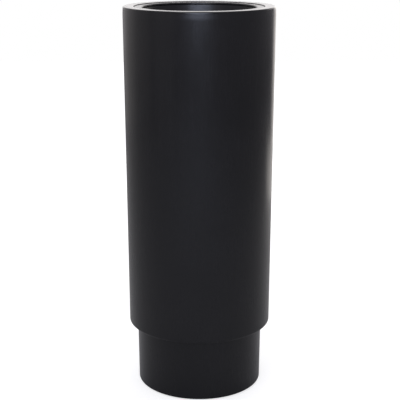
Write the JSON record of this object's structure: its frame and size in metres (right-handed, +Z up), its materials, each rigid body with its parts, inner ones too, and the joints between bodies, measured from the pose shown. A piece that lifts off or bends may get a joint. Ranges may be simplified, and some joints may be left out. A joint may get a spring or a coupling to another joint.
{
  "type": "tall round planter",
  "caption": "Tall round black fibreglass planter on a recessed foot, with a flush lift-out planting insert, folding wire handles and drain plugs.",
  "frame": {"origin": "on the floor under the centre of the planter's round foot", "axes": "+Z up along the planter's axis, -Y towards the picture's camera, +X to the camera's right"},
  "size_m": [0.346, 0.346, 0.9],
  "materials": {
    "black_gelcoat": "satin black gelcoat over fibreglass laminate",
    "liner_laminate": "semi-matte black fibreglass laminate",
    "black_rubber": "matte moulded rubber",
    "black_plastic": "fine-textured moulded nylon",
    "rivet_aluminium": "blind rivet, mill finish",
    "handle_steel": "drawn stainless wire"
  },
  "bodies": {
    "shell": {"outer_shell": "black_gelcoat", "rim_ring": "black_gelcoat", "foot_pad_1": "black_rubber", "foot_pad_2": "black_rubber", "foot_pad_3": "black_rubber", "foot_pad_4": "black_rubber", "foot_pad_5": "black_rubber", "foot_pad_6": "black_rubber"},
    "insert": {"insert_tub": "liner_laminate", "insert_trim_ring": "black_gelcoat", "right_front_socket": "black_plastic", "right_back_socket": "black_plastic", "left_front_socket": "black_plastic", "left_back_socket": "black_plastic", "right_front_rivet_lower": "rivet_aluminium", "right_front_rivet_upper": "rivet_aluminium", "right_back_rivet_lower": "rivet_aluminium", "right_back_rivet_upper": "rivet_aluminium", "left_front_rivet_lower": "rivet_aluminium", "left_front_rivet_upper": "rivet_aluminium", "left_back_rivet_lower": "rivet_aluminium", "left_back_rivet_upper": "rivet_aluminium"},
    "right_bail": {"right_handle": "handle_steel"},
    "left_bail": {"left_handle": "handle_steel"},
    "insert_plug": {"insert_drain_plug": "black_rubber"},
    "shell_plug": {"shell_drain_plug": "black_rubber"}
  },
  "joints": [
    {"name": "insert_lift", "type": "slide", "parent": "shell", "child": "insert", "axis": [0, 0, 1], "range_m": [0, 0.3]},
    {"name": "right_handle_swing", "type": "hinge", "parent": "insert", "child": "right_bail", "pos_m": [0.10859, 0, 0.864], "axis": [0, 1, 0], "range_deg": [-6, 195]},
    {"name": "left_handle_swing", "type": "hinge", "parent": "insert", "child": "left_bail", "pos_m": [-0.10859, 0, 0.864], "axis": [0, -1, 0], "range_deg": [-6, 195]},
    {"name": "insert_plug_pull", "type": "slide", "parent": "insert", "child": "insert_plug", "axis": [0, 0, 1], "range_m": [0, 0.3]},
    {"name": "shell_plug_pull", "type": "slide", "parent": "shell", "child": "shell_plug", "axis": [0, 0, 1], "range_m": [0, 0.04]}
  ]
}
